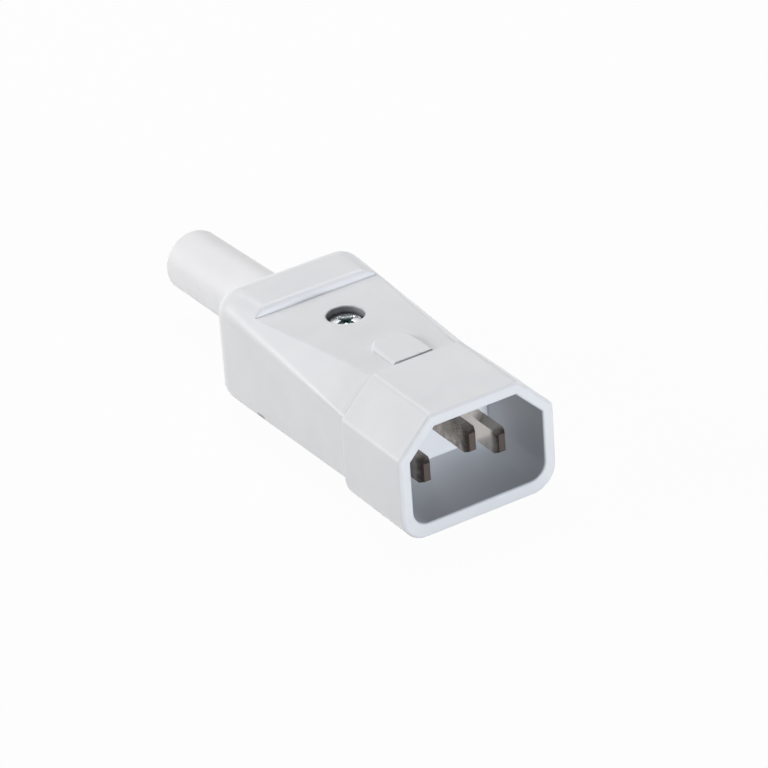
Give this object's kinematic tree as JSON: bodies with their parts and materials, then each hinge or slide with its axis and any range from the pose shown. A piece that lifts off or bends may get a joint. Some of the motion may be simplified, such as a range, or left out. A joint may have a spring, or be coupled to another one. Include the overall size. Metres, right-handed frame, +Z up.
{
  "type": "inline power plug",
  "caption": "Rewirable inline mains plug: a keyed mouth with flat contact blades, a screw-on hood with sloping shoulders and a soft cord sleeve.",
  "frame": {"origin": "centre of the mouth, on the plane of its rim", "axes": "+Y along the plug from the mouth towards the cord sleeve, +Z up towards the screw, +X to the right when looking into the mouth"},
  "size_m": [0.0286, 0.0858, 0.0212],
  "materials": {
    "white_plastic": "satin moulded white thermoplastic",
    "white_soft_plastic": "soft white plastic with a low sheen",
    "plated_brass": "brass with nickel plating",
    "zinc_steel": "steel with bright zinc plating"
  },
  "bodies": {
    "root": {"contact_carrier": "white_plastic", "rear_hood": "white_plastic", "cord_sleeve": "white_soft_plastic", "line_pin": "plated_brass", "neutral_pin": "plated_brass", "earth_pin": "plated_brass", "line_terminal_screw": "zinc_steel", "neutral_terminal_screw": "zinc_steel", "earth_terminal_screw": "zinc_steel", "cord_clamp": "white_plastic", "left_clamp_screw": "zinc_steel", "right_clamp_screw": "zinc_steel", "hood_screw": "zinc_steel"}
  },
  "joints": []
}
